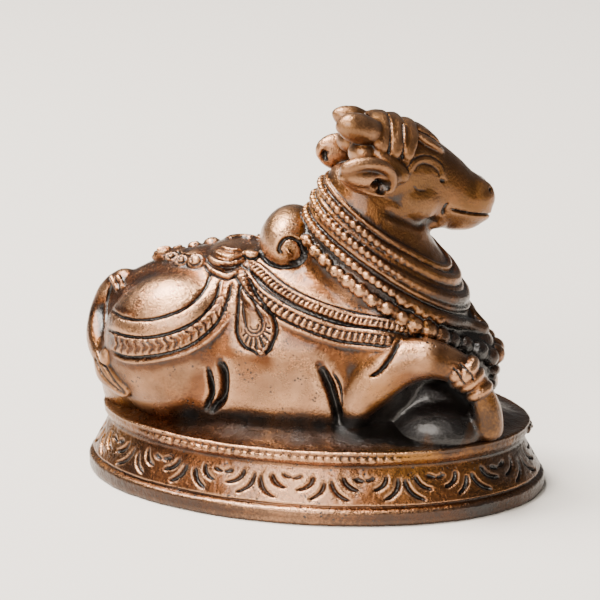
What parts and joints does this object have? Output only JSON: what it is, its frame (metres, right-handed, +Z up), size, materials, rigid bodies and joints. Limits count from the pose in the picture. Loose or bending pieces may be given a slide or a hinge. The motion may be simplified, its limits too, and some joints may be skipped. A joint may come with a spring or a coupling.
{
  "type": "nandi bull figure",
  "caption": "Small cast bull lying on an oval plinth carved with petals, with neck ropes, beads, a saddle cloth and pendants.",
  "frame": {"origin": "centre of the plinth's underside", "axes": "+X towards the bull's head and chest, +Y to the bull's left side, +Z up"},
  "size_m": [0.076, 0.048, 0.0626],
  "materials": {
    "antique_copper": "antiqued copper alloy, worn bright on the high places and dark in the recesses"
  },
  "bodies": {
    "root": {"nandi_bull": "antique_copper"}
  },
  "joints": []
}
